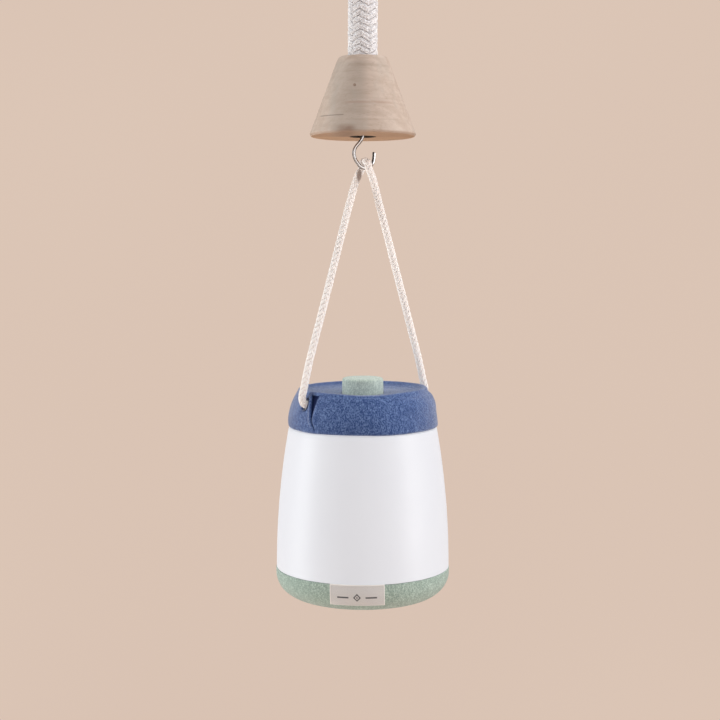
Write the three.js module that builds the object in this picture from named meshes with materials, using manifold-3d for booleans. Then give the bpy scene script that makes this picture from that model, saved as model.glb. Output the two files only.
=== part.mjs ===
// A child's hanging night lantern on a cotton rope, in millimetres, +Z up.
// The origin is the centre of the ceiling rose's flat top face; the chain of parts hangs below it.
// The cone, hook and cord are laid out down from the cone's top face, and the lantern down from its cap's rim.
// From the top: ceiling rose, ring, rope, wooden cone, swivel hook, thin cord, and the lantern with its
// felt cap, push button, light tray, translucent shade and felt base.
import * as THREE from "three";
import { mergeVertices } from "three/addons/utils/BufferGeometryUtils.js";
import Module from "manifold-3d";

const wasm = await Module();
wasm.setup();

// ---------------------------------------------------------------- driving dimensions

const GAP = 0.3; // clearance between pieces that touch

const ROSE = { radius: 35, thickness: 12, edge: 3, screwSpacing: 50, screwHole: 2.2, sinkRadius: 4.4 };
const LINK = { wire: 1.5, eyeRadius: 5.5, ringRadius: 7, eyeDrop: 24.3, shank: 1.3 };
const ROPE = { radius: 9.4, bore: 9.8, capRadius: 13, capHeight: 23, capBoreDepth: 15 };

const CONE_TOP_Z = -146;
const CONE = {
  height: 50.6, topRadius: 15.7, baseRadius: 33.65,
  ropeBoreDepth: 28, mouthRadius: 8.25, mouthDepth: 19.5, pinDrop: 19.9, pinX: -5.2,
};
const HOOK = { wire: 1.1, bowlX: 1.6, bowlZ: -65.3, bowlRadius: 5.2 };
const CORD = { radius: 2.45, rightAzimuth: 29, leftAzimuth: 36, holeZ: -220.9, overSpread: 2.1, overGap: 0.8 };

const RIM_BELOW_CONE = 213.6;
const CAP = { rimRadius: 42.4, edgeRadius: 49, dish: 1.8, shoulder: 0.9, skirt: 22.5, height: 24.4, felt: 1.5 };
const HOUSING = { wall: 2, skirtBottom: 23, bossRadius: 3.2, bossCircle: 38, bossBottom: 20 };
const SHADE = {
  topRadius: 48.5, bottomRadius: 56.6, top: 24.8, bottom: 116.5, wall: 2.2, neckRadius: 44.2, neckTop: 18,
};
const BASE = { top: 116.9, bottom: 136.3, radius: 56.9, edgeWidth: 18, edgeHeight: 16, felt: 1.3, wall: 2 };
const TRAY = { radius: 42.2, top: 20.3, thickness: 2 };
const BOARD = { outer: 34, inner: 12, thickness: 1.6, ledCircle: 24, screwCircle: 16.5 };
const CELL = { radius: 5.25, length: 44.5, offset: 16, firstAzimuth: 61 };
const BUTTON = { radius: 13.5, rise: 7.7, sink: 4.5, felt: 1.4, hole: 14, flange: 15.5 };
const SWITCH = { size: 8, height: 7.5, bore: 2.3, plunger: 2 };
const LABEL = { width: 34.8, drop: 12.8, thickness: 0.7, azimuth: THREE.MathUtils.degToRad(266.3) };

const ROUND = 32; // segments of the large round pieces
const SMALL = 8; // segments of screws and other small round pieces

// ---------------------------------------------------------------- finishes

function finish(color, roughness, metalness = 0) {
  return new THREE.MeshStandardMaterial({ color, roughness, metalness });
}

const FINISHES = {
  wood: () => finish(0xc8ac98, 0.75),
  steel: () => finish(0xa9a6a2, 0.3, 0.9),
  brass: () => finish(0xb08d4c, 0.4, 0.9),
  cotton: () => finish(0xe4ddd6, 0.95),
  blueFelt: () => finish(0x62729f, 0.98),
  greenFelt: () => finish(0xaebcaa, 0.98),
  shade: () => finish(0xeceaf0, 0.45),
  plastic: () => finish(0xe6e4e0, 0.5),
  label: () => finish(0xd9d2c8, 0.9),
  board: () => finish(0x2f6b46, 0.5),
  cell: () => finish(0x6d7f8c, 0.4, 0.3),
  led: () => finish(0xf6e7b4, 0.2),
  black: () => finish(0x26262a, 0.5),
  red: () => finish(0xb0332c, 0.5),
};

function addPiece(group, name, geometry, finishName) {
  const mesh = new THREE.Mesh(geometry, FINISHES[finishName]());
  mesh.name = name;
  group.add(mesh);
  return mesh;
}

function addGroup(parent, z = 0, turn = 0) {
  const group = new THREE.Group();
  group.position.z = z;
  group.rotation.z = turn;
  parent.add(group);
  return group;
}

// ---------------------------------------------------------------- shapes

// Turns an outline of [radius, height] points about Z. A ring's outline is closed here.
function turned(outline, segments = ROUND) {
  const points = outline.map(([radius, height]) => new THREE.Vector2(radius, height));
  const onAxis = points[0].x === 0 && points.at(-1).x === 0;
  if (!onAxis) points.push(points[0].clone());
  if (THREE.ShapeUtils.area(points) < 0) points.reverse();
  return new THREE.LatheGeometry(points, segments).rotateX(Math.PI / 2);
}

function rod(radius, bottom, top, segments = SMALL, x = 0, y = 0) {
  const geometry = new THREE.CylinderGeometry(radius, radius, top - bottom, segments);
  return geometry.rotateX(Math.PI / 2).translate(x, y, (top + bottom) / 2);
}

function ring(radius, wire, centreZ, axis) {
  const geometry = new THREE.TorusGeometry(radius, wire, 6, 18);
  if (axis === "x") geometry.rotateY(Math.PI / 2);
  if (axis === "y") geometry.rotateX(Math.PI / 2);
  return geometry.translate(0, 0, centreZ);
}

// A curve whose steps are shared out by control point, so that tight bends get more of them.
class Route extends THREE.CatmullRomCurve3 {
  getPointAt(u, target) {
    return this.getPoint(u, target);
  }

  getTangentAt(u, target) {
    return this.getTangent(u, target);
  }
}

function polygon(radius, sides) {
  const corners = Array.from({ length: sides }, (_, i) => {
    const angle = (2 * Math.PI * i) / sides;
    return new THREE.Vector2(radius * Math.cos(angle), radius * Math.sin(angle));
  });
  return new THREE.Shape(corners);
}

function tube(path, radius, sides, steps) {
  return new THREE.ExtrudeGeometry(polygon(radius, sides), { steps, extrudePath: path, bevelEnabled: false });
}

function routeOf(points) {
  return new Route(points.map(([x, y, z]) => new THREE.Vector3(x, y, z)));
}

// Points on an arc about a centre, from one angle to another, in degrees. It may be taller than it is wide.
function arc(centreRadius, centreZ, radius, from, to, steps, tall = radius) {
  return Array.from({ length: steps + 1 }, (_, i) => {
    const angle = THREE.MathUtils.degToRad(from + ((to - from) * i) / steps);
    return [centreRadius + radius * Math.cos(angle), centreZ + tall * Math.sin(angle)];
  });
}

// ---------------------------------------------------------------- booleans

function toSolid(geometry) {
  const bare = geometry.index ? geometry.toNonIndexed() : geometry.clone();
  bare.deleteAttribute("normal");
  bare.deleteAttribute("uv");
  const merged = mergeVertices(bare, 1e-4);
  const vertProperties = new Float32Array(merged.attributes.position.array);
  const triVerts = new Uint32Array(merged.index.array);
  return new wasm.Manifold(new wasm.Mesh({ numProp: 3, vertProperties, triVerts }));
}

function toGeometry(solid) {
  const { vertProperties, triVerts } = solid.getMesh();
  const geometry = new THREE.BufferGeometry();
  geometry.setAttribute("position", new THREE.BufferAttribute(vertProperties, 3));
  geometry.setIndex(new THREE.BufferAttribute(triVerts, 1));
  geometry.computeVertexNormals();
  return geometry;
}

function cut(body, ...tools) {
  return toGeometry(tools.reduce((solid, tool) => solid.subtract(toSolid(tool)), toSolid(body)));
}

function join(body, ...others) {
  return toGeometry(others.reduce((solid, other) => solid.add(toSolid(other)), toSolid(body)));
}

// ---------------------------------------------------------------- ceiling mount, ring and rope

const eyeBottomZ = -LINK.eyeDrop - LINK.eyeRadius;
const linkPitch = 2 * LINK.wire + GAP;
const ringBottomZ = eyeBottomZ + linkPitch - 2 * LINK.ringRadius;
const ropeEyeZ = ringBottomZ + linkPitch - LINK.eyeRadius;
const ropeCapTop = ropeEyeZ - LINK.eyeRadius - LINK.wire - GAP;
const ropeCapBottom = ropeCapTop - ROPE.capHeight;

function ceilingRose() {
  const { radius, thickness, edge } = ROSE;
  const lowerEdge = arc(radius - edge, edge - thickness, edge, 0, -90, 4);
  const outline = [[0, 0], [radius, 0], ...lowerEdge, [0, -thickness]];
  const sink = new THREE.CylinderGeometry(ROSE.screwHole, ROSE.sinkRadius, 2.4, 16).rotateX(Math.PI / 2);
  const tools = [rod(LINK.shank + GAP, -thickness - 1, -3)];
  for (const side of [-1, 1]) {
    const x = (side * ROSE.screwSpacing) / 2;
    tools.push(rod(ROSE.screwHole, -thickness - 1, 1, 16, x, 0));
    tools.push(sink.clone().translate(x, 0, -thickness + 1.1));
  }
  return cut(turned(outline), ...tools);
}

function screwEye(centreZ, shankEnd, axis) {
  const toEdge = centreZ + Math.sign(shankEnd - centreZ) * LINK.eyeRadius;
  const shank = rod(LINK.shank, Math.min(toEdge, shankEnd), Math.max(toEdge, shankEnd), 12);
  return join(ring(LINK.eyeRadius, LINK.wire, centreZ, axis), shank);
}

function ropeCap() {
  const { capRadius, bore, capBoreDepth } = ROPE;
  const outline = [
    [0, ropeCapTop],
    ...arc(capRadius - 4, ropeCapTop - 4, 4, 90, 0, 4),
    [capRadius, ropeCapBottom],
    [bore, ropeCapBottom],
    [bore, ropeCapBottom + capBoreDepth],
    [0, ropeCapBottom + capBoreDepth],
  ];
  return cut(turned(outline, 28), rod(LINK.shank + GAP, ropeCapTop - 6, ropeCapTop + 1));
}

// A small headed nail along Y, driven from the front at the given place.
function nail(x, z, headY, pointY) {
  const shank = rod(0.6, 0, pointY - headY, SMALL);
  const head = rod(1, 0, 0.8, SMALL);
  return join(shank, head).rotateX(-Math.PI / 2).translate(x, headY, z);
}

function nailHole(x, z, headY, pointY) {
  return rod(1 + GAP, 0, pointY - headY + 1.5, SMALL).rotateX(-Math.PI / 2).translate(x, headY - 1, z);
}

const ropeTop = ropeCapBottom + ROPE.capBoreDepth - GAP;
const ropeBottom = CONE_TOP_Z - CONE.ropeBoreDepth + GAP;
const conePinZ = -CONE.pinDrop;
const conePinY = -22.4;
const capPinZ = ropeCapBottom + 7;
const capPinY = -ROPE.capRadius + 0.4;
const pinPointY = -5;

function thickRope() {
  const path = new THREE.LineCurve3(new THREE.Vector3(0, 0, ropeTop), new THREE.Vector3(0, 0, ropeBottom));
  const rope = tube(path, ROPE.radius, 12, 3);
  const coneHole = nailHole(CONE.pinX, CONE_TOP_Z + conePinZ, conePinY, pinPointY);
  return cut(rope, coneHole, nailHole(0, capPinZ, capPinY, pinPointY));
}

// ---------------------------------------------------------------- cone and hook

function ropeCone() {
  const { height, topRadius, baseRadius, mouthRadius, mouthDepth, ropeBoreDepth } = CONE;
  const baseZ = -height;
  const outline = [
    [0, -ropeBoreDepth],
    [ROPE.bore, -ropeBoreDepth],
    [ROPE.bore, 0],
    [topRadius - 1.4, 0],
    [topRadius - 0.3, -0.5],
    [topRadius + 0.3, -1.6],
    [baseRadius - 0.5, baseZ + 1.3],
    [baseRadius - 0.2, baseZ + 0.5],
    [baseRadius - 1, baseZ],
    [mouthRadius, baseZ],
    [mouthRadius, baseZ + mouthDepth],
    [0, baseZ + mouthDepth],
  ];
  return cut(turned(outline), nailHole(CONE.pinX, conePinZ, conePinY, pinPointY));
}

const mouthTop = CONE.mouthDepth - CONE.height;

function swivelPlug() {
  const radius = CONE.mouthRadius - GAP;
  const bore = HOOK.wire + GAP;
  const [bottom, top] = [mouthTop - 8, mouthTop - 4];
  return turned([[bore, bottom], [radius, bottom], [radius, top], [bore, top]], 24);
}

function swivelWasher() {
  const top = mouthTop - 2.3;
  return turned([[HOOK.wire + GAP, top - 1.4], [5, top - 1.4], [5, top], [HOOK.wire + GAP, top]], 16);
}

// A wire hook in the XZ plane: a straight shank, a bend to the left, and an open bowl.
function cordHook() {
  const path = routeOf([
    [0, 0, mouthTop - 0.8],
    [0, 0, -42],
    [0, 0, -48],
    [-0.6, 0, -51.8],
    [-2.2, 0, -54.3],
    [-4.1, 0, -56.5],
    [-5.4, 0, -58.9],
    [-5.7, 0, -61.6],
    [-4.8, 0, -64.9],
    ...arc(HOOK.bowlX, HOOK.bowlZ, HOOK.bowlRadius, 205, 335, 6).map(([x, z]) => [x, 0, z]),
    [7.1, 0, -64.2],
    [7.3, 0, -60.3],
  ]);
  const head = rod(2.6, mouthTop - 1.9, mouthTop - 0.5, 12);
  return join(tube(path, HOOK.wire, 8, 51), head);
}

// ---------------------------------------------------------------- thin cord

// The direction of a cord hole from the lantern's axis. The left hole, side -1, is further round to the front.
function holeAzimuth(side) {
  return THREE.MathUtils.degToRad(side > 0 ? CORD.rightAzimuth : CORD.leftAzimuth + 180);
}

// A place in the direction of a cord hole: distance from the axis, height, and side -1 or 1.
function towardsHole(distance, z, side) {
  return [distance * Math.cos(holeAzimuth(side)), distance * Math.sin(holeAzimuth(side)), z];
}

const bowlLow = HOOK.bowlZ - HOOK.bowlRadius;
const overReach = HOOK.wire + CORD.radius + CORD.overGap;

// Half of the cord, from its hole up to where it goes over the hook's wire, which it passes at one distance.
// The left half comes up behind the wire and the right half in front of it.
function cordHalf(side) {
  const overWire = [0, 30, 60].map((degrees) => {
    const angle = THREE.MathUtils.degToRad(degrees);
    const across = side * CORD.overSpread * Math.cos(angle);
    return [HOOK.bowlX + across, -side * overReach * Math.cos(angle), bowlLow + overReach * Math.sin(angle)];
  });
  const legTop = new THREE.Vector3(1 + side * 9.1, side * 1.6, -91.6);
  const legFoot = new THREE.Vector3(...towardsHole(42.6, CORD.holeZ + 25, side));
  const leg = [0, 0.25, 0.5, 0.75, 1].map((share) => legFoot.clone().lerp(legTop, share).toArray());
  return [
    towardsHole(43.6, CORD.holeZ, side),
    towardsHole(45, CORD.holeZ + 0.1, side),
    towardsHole(46.5, CORD.holeZ + 1, side),
    towardsHole(47.4, CORD.holeZ + 3, side),
    towardsHole(47.4, CORD.holeZ + 6, side),
    towardsHole(46.2, CORD.holeZ + 10.5, side),
    ...leg,
    [1.3 + side * 4.9, -side * 2.6, -76.6],
    ...overWire,
  ];
}

function thinCord() {
  const path = routeOf([...cordHalf(-1), [HOOK.bowlX, 0, bowlLow + overReach], ...cordHalf(1).reverse()]);
  return tube(path, CORD.radius, 8, 80);
}

// A stopper knot behind the housing wall, with the short neck of cord that leads to the hole.
function cordKnot(side) {
  const neck = routeOf([
    towardsHole(43.3, CORD.holeZ, side),
    towardsHole(40.5, CORD.holeZ - 0.4, side),
    towardsHole(37.7, CORD.holeZ - 3, side),
  ]);
  const knot = new THREE.SphereGeometry(4.2, 8, 5).translate(...towardsHole(37.2, CORD.holeZ - 3.9, side));
  return join(tube(neck, 2.2, 6, 4), knot);
}

// ---------------------------------------------------------------- cap

// A wall that flares quickly at the top and runs nearly straight at the bottom.
function flare(topRadius, bottomRadius, topZ, bottomZ, steps) {
  return Array.from({ length: steps + 1 }, (_, i) => {
    const t = i / steps;
    return [bottomRadius - (bottomRadius - topRadius) * (1 - t) ** 2, topZ + (bottomZ - topZ) * t];
  });
}

const holeBelowRim = CORD.holeZ + RIM_BELOW_CONE;

function capWall(inset, topZ, bottomZ) {
  return flare(CAP.rimRadius - inset, CAP.edgeRadius - inset, topZ, bottomZ, 4);
}

// A hole of rounded slot section, out through the cap's wall where a cord leg enters, in the lantern's
// own frame.
function cordSlot(width, height, centreZ, side) {
  const reach = (height - width) / 2;
  const outline = new THREE.Shape();
  outline.absarc(0, reach, width / 2, 0, Math.PI);
  outline.absarc(0, -reach, width / 2, Math.PI, 2 * Math.PI);
  const slot = new THREE.ExtrudeGeometry(outline, { depth: 16, bevelEnabled: false, curveSegments: 6 });
  slot.rotateX(Math.PI / 2).rotateZ(Math.PI / 2).translate(36, 0, centreZ);
  return slot.rotateZ(holeAzimuth(side));
}

function capCover() {
  const { rimRadius, dish, shoulder, skirt, height, felt, edgeRadius } = CAP;
  const outline = [
    [BUTTON.hole, -dish],
    [rimRadius - 6, -dish],
    [rimRadius - 4, -0.7],
    [rimRadius - 2.6, 0],
    [rimRadius - 0.8, -0.1],
    ...capWall(0, -shoulder, -skirt),
    [edgeRadius - 0.8, -height],
    [edgeRadius - felt - 0.3, -height],
    ...capWall(felt, -shoulder - felt - 0.3, -skirt).reverse(),
    [rimRadius - 4, -dish - felt],
    [BUTTON.hole, -dish - felt],
  ];
  return cut(turned(outline), cordSlot(8, 10, holeBelowRim + 0.3, 1), cordSlot(8, 10, holeBelowRim + 0.3, -1));
}

function capHousing() {
  const { rimRadius, dish, shoulder, felt } = CAP;
  const { wall, skirtBottom, bossRadius, bossCircle, bossBottom } = HOUSING;
  const top = -dish - felt - GAP;
  const inset = felt + GAP;
  const outline = [
    [BUTTON.hole, top],
    [rimRadius - 4, top],
    ...capWall(inset, -shoulder - felt - 0.9, -skirtBottom),
    ...capWall(inset + wall, -shoulder - felt - wall - 1.4, -skirtBottom).reverse(),
    [rimRadius - 6, top - wall],
    [BUTTON.hole, top - wall],
  ];
  const bosses = [];
  const holes = [];
  for (const azimuth of bossAzimuths()) {
    const x = bossCircle * Math.cos(azimuth);
    const y = bossCircle * Math.sin(azimuth);
    bosses.push(rod(bossRadius, -bossBottom, top - wall / 2, 10, x, y));
    holes.push(rod(1.6, -bossBottom - 1, -bossBottom + 8, SMALL, x, y));
  }
  const slots = [-1, 1].map((side) => cordSlot(6, 6.01, holeBelowRim, side));
  return cut(join(turned(outline), ...bosses), ...holes, ...slots);
}

function bossAzimuths() {
  return [0, 1, 2].map((i) => THREE.MathUtils.degToRad(CELL.firstAzimuth - 60 + 120 * i));
}

// ---------------------------------------------------------------- light tray and electronics

const trayBottom = -TRAY.top - TRAY.thickness;
const boardTop = trayBottom - GAP;
const boardBottom = boardTop - BOARD.thickness;
const wireHole = { x: 31.4, radius: 2.6 };

function polar(radius, azimuth) {
  return [radius * Math.cos(azimuth), radius * Math.sin(azimuth)];
}

function boardScrewPlaces() {
  const first = THREE.MathUtils.degToRad(CELL.firstAzimuth);
  return [0, Math.PI].map((turn) => polar(BOARD.screwCircle, first + turn));
}

function lightTray() {
  const wireAzimuth = bossAzimuths()[2];
  const bosses = bossAzimuths().map((azimuth) => polar(HOUSING.bossCircle, azimuth));
  const tools = bosses.map(([x, y]) => rod(1.6, trayBottom - 1, 0, SMALL, x, y));
  boardScrewPlaces().forEach(([x, y]) => tools.push(rod(1.3, trayBottom - 1, 0, SMALL, x, y)));
  tools.push(rod(wireHole.radius, trayBottom - 1, 0, SMALL, ...polar(wireHole.x, wireAzimuth)));
  return cut(rod(TRAY.radius, trayBottom, -TRAY.top, ROUND), ...tools);
}

function ledBoard() {
  const { outer, inner } = BOARD;
  const disc = turned([[inner, boardBottom], [outer, boardBottom], [outer, boardTop], [inner, boardTop]], 32);
  const tools = boardScrewPlaces().map(([x, y]) => rod(1.3, boardBottom - 1, boardTop + 1, SMALL, x, y));
  const [wireX, wireY] = polar(wireHole.x, bossAzimuths()[2]);
  tools.push(rod(wireHole.radius, boardBottom - 1, boardTop + 1, SMALL, wireX, wireY));
  return cut(disc, ...tools);
}

// A pan-head screw that points up, with its head under the given level.
function screw(headTop, length, headRadius, shankRadius) {
  return join(rod(headRadius, headTop - 1.5, headTop, 10), rod(shankRadius, headTop - 0.5, headTop + length));
}

function led() {
  const top = boardBottom - GAP;
  const side = [[2.9, 0], [2.9, -1], [2.5, -1], [2.5, -5.5], [1.6, -7.5]];
  return turned([[0, top], ...side.map(([r, z]) => [r, top + z]), [0, top - 8.1]], 8);
}

// A cell lies along Y, with its raised contact at +Y.
function batteryCell() {
  const { radius, length } = CELL;
  const half = length / 2;
  const outline = [[0, -half], [radius, -half], [radius, half - 1], [1.9, half - 1], [1.9, half], [0, half]];
  return turned(outline, 12).rotateX(-Math.PI / 2).translate(0, 0, -TRAY.top + GAP + radius);
}

// A spring-steel strip of the given plan line, standing on edge.
function contactStrip(line) {
  const thickness = 0.4;
  const outer = line.map(([x, y]) => new THREE.Vector2(x, y));
  const inner = line.map(([x, y]) => new THREE.Vector2(x + thickness, y)).reverse();
  const plan = new THREE.Shape([...outer, ...inner]);
  const strip = new THREE.ExtrudeGeometry(plan, { depth: 7, bevelEnabled: false });
  return strip.translate(0, 0, -TRAY.top + 1.5);
}

// The wire runs from a battery contact down through the tray's hole to the board's underside.
function powerWire(side) {
  const path = routeOf([
    [30.4, side * 3.4, -TRAY.top + 6],
    [31, side * 2.4, -TRAY.top + 3],
    [31.4, side * 1.3, trayBottom],
    [31.2, side * 1.3, boardBottom - 1.5],
    [28.5, side * 2, boardBottom - 1.6],
    [26, side * 2.6, boardBottom - 1.1],
  ]);
  return tube(path, 0.6, 6, 12);
}

function switchBody() {
  const { size, height, bore } = SWITCH;
  const bottom = -TRAY.top + GAP;
  const block = new THREE.BoxGeometry(size, size, height).translate(0, 0, bottom + height / 2);
  return cut(block, rod(bore, bottom + 1.6, bottom + height + 1, 12));
}

// ---------------------------------------------------------------- button

const coreTop = BUTTON.rise - BUTTON.felt - GAP;
const flangeTop = -CAP.dish - CAP.felt - GAP - HOUSING.wall - GAP;
const stemBottom = flangeTop - 2.8;

function buttonCover() {
  const { radius, rise, sink, felt } = BUTTON;
  const inside = radius - felt;
  return turned([
    [0, rise],
    [radius - 1.6, rise],
    [radius - 0.4, rise - 0.5],
    [radius, rise - 1.6],
    [radius, -sink],
    [inside, -sink],
    [inside, rise - felt],
    [0, rise - felt],
  ], 36);
}

function buttonCore() {
  const outside = BUTTON.radius - BUTTON.felt - GAP;
  const hollow = 9.5;
  const ceiling = coreTop - 2;
  return turned([
    [0, coreTop],
    [outside, coreTop],
    [outside, flangeTop],
    [BUTTON.flange, flangeTop],
    [BUTTON.flange, flangeTop - 1.5],
    [hollow, flangeTop - 1.5],
    [hollow, ceiling],
    [3, ceiling],
    [3, stemBottom],
    [0, stemBottom],
  ], 20);
}

function switchPlunger() {
  const top = stemBottom - GAP;
  return rod(SWITCH.plunger, top - 6.5, top, 12);
}

function buttonSpring() {
  const coilRadius = 7.3;
  const wire = 0.45;
  const turns = 5;
  const bottom = -TRAY.top + GAP + wire;
  const top = coreTop - 2 - GAP - wire;
  const points = Array.from({ length: turns * 6 + 1 }, (_, i) => {
    const angle = (Math.PI * i) / 3;
    const z = bottom + ((top - bottom) * i) / (turns * 6);
    return [coilRadius * Math.cos(angle), coilRadius * Math.sin(angle), z];
  });
  return tube(routeOf(points), wire, 4, turns * 10);
}

// ---------------------------------------------------------------- shade and base

function diffuser() {
  const { topRadius, bottomRadius, top, bottom, wall, neckRadius, neckTop } = SHADE;
  const neckInside = neckRadius - 1.6;
  return turned([
    [neckRadius, -neckTop],
    [neckRadius, -top],
    [topRadius - 0.6, -top],
    ...flare(topRadius, bottomRadius, -top - 0.8, -bottom, 4),
    ...flare(topRadius - wall, bottomRadius - wall, -top - wall, -bottom, 4).reverse(),
    [neckInside, -top - wall],
    [neckInside, -neckTop],
  ]);
}

// The outside of the base, set in by the given amount: a short straight side and a large round edge.
function baseOutline(inset) {
  const { top, bottom, radius, edgeWidth, edgeHeight } = BASE;
  const edge = arc(radius - edgeWidth, edgeHeight - bottom, edgeWidth - inset, 0, -90, 5, edgeHeight - inset);
  return [[radius - inset, -top], ...edge];
}

function baseCover() {
  const outside = baseOutline(0);
  const inside = baseOutline(BASE.felt);
  return turned([...outside, [0, -BASE.bottom], [0, -BASE.bottom + BASE.felt], ...inside.reverse()].reverse());
}

function baseShell() {
  const inset = BASE.felt + GAP;
  const spigot = SHADE.bottomRadius - SHADE.wall - GAP - 0.2;
  const outside = baseOutline(inset);
  const inside = baseOutline(inset + BASE.wall).slice(1);
  return turned([
    [0, -BASE.bottom + inset],
    ...outside.reverse(),
    [spigot, -BASE.top],
    [spigot, -BASE.top + 6],
    [spigot - BASE.wall, -BASE.top + 6],
    ...inside,
    [0, -BASE.bottom + inset + BASE.wall],
  ]);
}

// A cloth tag that follows the side of the base: a slice of a thin turned skin.
function fabricLabel() {
  const { width, drop, thickness, azimuth } = LABEL;
  const bottom = -BASE.top - 0.2 - drop;
  const skin = turned([...baseOutline(-GAP - thickness), ...baseOutline(-GAP).reverse()], 64);
  const half = width / (2 * BASE.radius);
  const reach = 80;
  const corners = [[0, 0], [reach, -reach * Math.tan(half)], [reach, reach * Math.tan(half)]];
  const shape = new THREE.Shape(corners.map(([x, y]) => new THREE.Vector2(x, y)));
  const wedge = new THREE.ExtrudeGeometry(shape, { depth: drop, bevelEnabled: false });
  wedge.translate(0, 0, bottom).rotateZ(azimuth);
  return toGeometry(toSolid(skin).intersect(toSolid(wedge)));
}

// ---------------------------------------------------------------- assembly

const object = new THREE.Group();

const ceiling = addGroup(object);
addPiece(ceiling, "ceiling_rose", ceilingRose(), "wood");
addPiece(ceiling, "ceiling_eye", screwEye(-LINK.eyeDrop, -4, "y"), "steel");
addPiece(ceiling, "rope_ring", ring(LINK.ringRadius, LINK.wire, ringBottomZ + LINK.ringRadius, "x"), "steel");

const rope = addGroup(object);
addPiece(rope, "screw_eye", screwEye(ropeEyeZ, ropeCapTop - 5.4, "y"), "steel");
addPiece(rope, "rope_cap", cut(ropeCap(), nailHole(0, capPinZ, capPinY, pinPointY)), "wood");
addPiece(rope, "rope_cap_pin", nail(0, capPinZ, capPinY, pinPointY), "brass");
addPiece(rope, "thick_rope", thickRope(), "cotton");

const cone = addGroup(rope, CONE_TOP_Z);
addPiece(cone, "rope_cone", ropeCone(), "wood");
addPiece(cone, "cone_pin", nail(CONE.pinX, conePinZ, conePinY, pinPointY), "steel");
addPiece(cone, "swivel_plug", swivelPlug(), "brass");

const hook = addGroup(cone);
addPiece(hook, "swivel_washer", swivelWasher(), "brass");
addPiece(hook, "cord_hook", cordHook(), "steel");

const cord = addGroup(hook);
addPiece(cord, "thin_cord", thinCord(), "cotton");
addPiece(cord, "cord_knot_left", cordKnot(-1), "cotton");
addPiece(cord, "cord_knot_right", cordKnot(1), "cotton");

const lantern = addGroup(cord, -RIM_BELOW_CONE);
addPiece(lantern, "cap_cover", capCover(), "blueFelt");
addPiece(lantern, "cap_housing", capHousing(), "plastic");
addPiece(lantern, "light_tray", lightTray(), "plastic");
addPiece(lantern, "led_board", ledBoard(), "board");
addPiece(lantern, "switch_body", switchBody(), "black");
addPiece(lantern, "button_spring", buttonSpring(), "steel");

bossAzimuths().forEach((azimuth, i) => {
  const piece = addPiece(lantern, `tray_screw_${i + 1}`, screw(trayBottom - GAP, 8, 2.6, 1.2), "steel");
  piece.position.set(...polar(HOUSING.bossCircle, azimuth), 0);
});

boardScrewPlaces().forEach(([x, y], i) => {
  const piece = addPiece(lantern, `board_screw_${i + 1}`, screw(boardBottom - GAP, 3.4, 2, 0.9), "steel");
  piece.position.set(x, y, 0);
});

for (let i = 0; i < 6; i += 1) {
  const azimuth = THREE.MathUtils.degToRad(CELL.firstAzimuth - 30 + 60 * i);
  addPiece(lantern, `led_${i + 1}`, led(), "led").position.set(...polar(BOARD.ledCircle, azimuth), 0);
}

for (let i = 0; i < 3; i += 1) {
  const turn = addGroup(lantern, 0, THREE.MathUtils.degToRad(CELL.firstAzimuth + 120 * i));
  addPiece(turn, `battery_cell_${i + 1}`, batteryCell(), "cell").position.x = CELL.offset + CELL.radius;
}

// Where two cells' ends meet, the contact strip's plan runs along one end, across, and along the other.
const stripEnd = [32.6, 10.8];
const stripBend = [28.3, 3.4];
const bridge = [stripEnd, stripBend, [stripBend[0], -stripBend[1]], [stripEnd[0], -stripEnd[1]]];
bossAzimuths().slice(0, 2).forEach((azimuth, i) => {
  addPiece(addGroup(lantern, 0, azimuth), `contact_bridge_${i + 1}`, contactStrip(bridge), "steel");
});

const wiring = addGroup(lantern, 0, bossAzimuths()[2]);
addPiece(wiring, "contact_plus", contactStrip([stripEnd, [28.9, 4.4]]), "steel");
addPiece(wiring, "contact_minus", contactStrip([[28.9, -4.4], [stripEnd[0], -stripEnd[1]]]), "steel");
addPiece(wiring, "wire_red", powerWire(1), "red");
addPiece(wiring, "wire_black", powerWire(-1), "black");

const button = addGroup(lantern);
addPiece(button, "button_cover", buttonCover(), "greenFelt");
addPiece(button, "button_core", buttonCore(), "plastic");
addPiece(button, "switch_plunger", switchPlunger(), "black");

const shade = addGroup(lantern);
addPiece(shade, "diffuser", diffuser(), "shade");
addPiece(shade, "base_shell", baseShell(), "plastic");
addPiece(shade, "base_cover", baseCover(), "greenFelt");
addPiece(shade, "fabric_label", fabricLabel(), "label");

export default object;
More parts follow.
